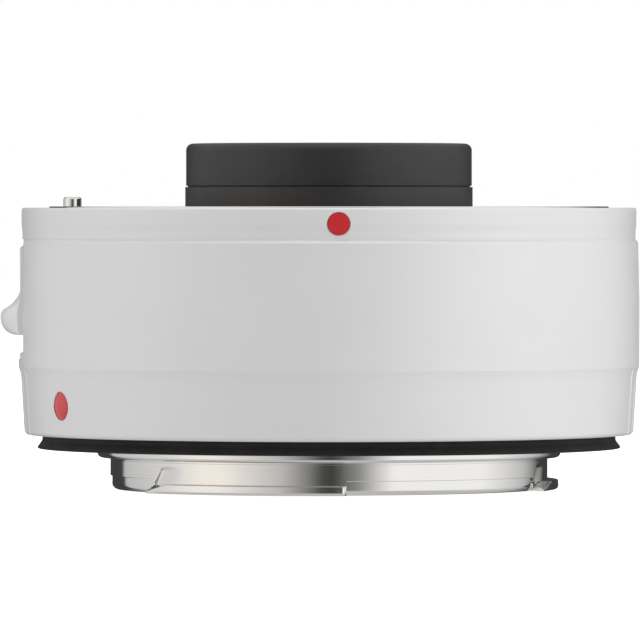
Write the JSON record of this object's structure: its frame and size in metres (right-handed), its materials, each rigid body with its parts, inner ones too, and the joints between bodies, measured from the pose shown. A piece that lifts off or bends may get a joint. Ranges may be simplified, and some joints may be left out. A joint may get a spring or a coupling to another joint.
{
  "type": "camera teleconverter",
  "caption": "White lens teleconverter with a chrome camera bayonet, a sprung lens lock with side lever, glass groups and contacts.",
  "frame": {"origin": "on the optical axis at the camera flange plane", "axes": "+Z along the optical axis towards the lens, -Y towards the index dots, -X towards the release lever"},
  "size_m": [0.0742, 0.072, 0.0401],
  "materials": {
    "white_paint": "satin off-white paint with a fine orange peel",
    "white_lever": "satin off-white moulding",
    "black_anodised": "satin black anodised",
    "mount_chrome": "fine turned, bright plated",
    "steel": "bright machined",
    "black_plastic": "matt moulding",
    "seal_rubber": "matt rubber",
    "contact_gold": "gold plated",
    "index_red": "glossy red",
    "optical_glass": "coated optical glass",
    "board_laminate": "green solder mask",
    "ribbon_film": "amber film"
  },
  "bodies": {
    "housing": {"outer_shell": "white_paint", "front_collar": "white_paint", "front_index_dot": "index_red", "rear_index_bead": "index_red", "main_frame": "black_anodised", "front_mount_ring": "mount_chrome", "front_mount_screws": "steel", "mount_leaf_springs": "steel", "leaf_spring_rivets": "steel", "well_floor": "black_plastic", "front_contact_block": "black_plastic", "rear_bayonet_ring": "mount_chrome", "rear_mount_screws": "steel", "rear_seal": "seal_rubber", "flange_shim": "steel", "rear_baffle": "black_plastic", "rear_contact_block": "black_plastic", "rear_contact_pads": "contact_gold", "rear_block_screws": "steel", "circuit_board": "board_laminate", "board_chips": "black_plastic", "board_screws": "steel", "front_ribbon": "ribbon_film", "rear_ribbon": "ribbon_film", "guide_screws": "steel", "return_spring": "steel", "lens_tube": "black_anodised", "cell_screws": "steel", "front_trim_ring": "black_anodised", "middle_retainer": "black_anodised", "rear_retainer": "black_anodised", "lens_1": "optical_glass", "lens_2": "optical_glass", "lens_3": "optical_glass", "lens_4": "optical_glass", "lens_5": "optical_glass", "lens_6": "optical_glass", "lens_7": "optical_glass"},
    "release_slider": {"release_lever": "white_lever", "lever_screws": "steel", "slide_plate": "steel", "lock_pin": "mount_chrome"},
    "contact_group": {"front_contact_pins": "contact_gold"}
  },
  "joints": [
    {"name": "release_slide", "type": "slide", "parent": "housing", "child": "release_slider", "axis": [0, 0, -1], "range_m": [0, 0.0016], "stiffness_N_per_m": 400, "springref_m": -0.003, "deforming": ["return_spring"]},
    {"name": "contact_press", "type": "slide", "parent": "housing", "child": "contact_group", "axis": [0, 0, -1], "range_m": [0, 0.0008], "stiffness_N_per_m": 60, "springref_m": -0.001}
  ]
}
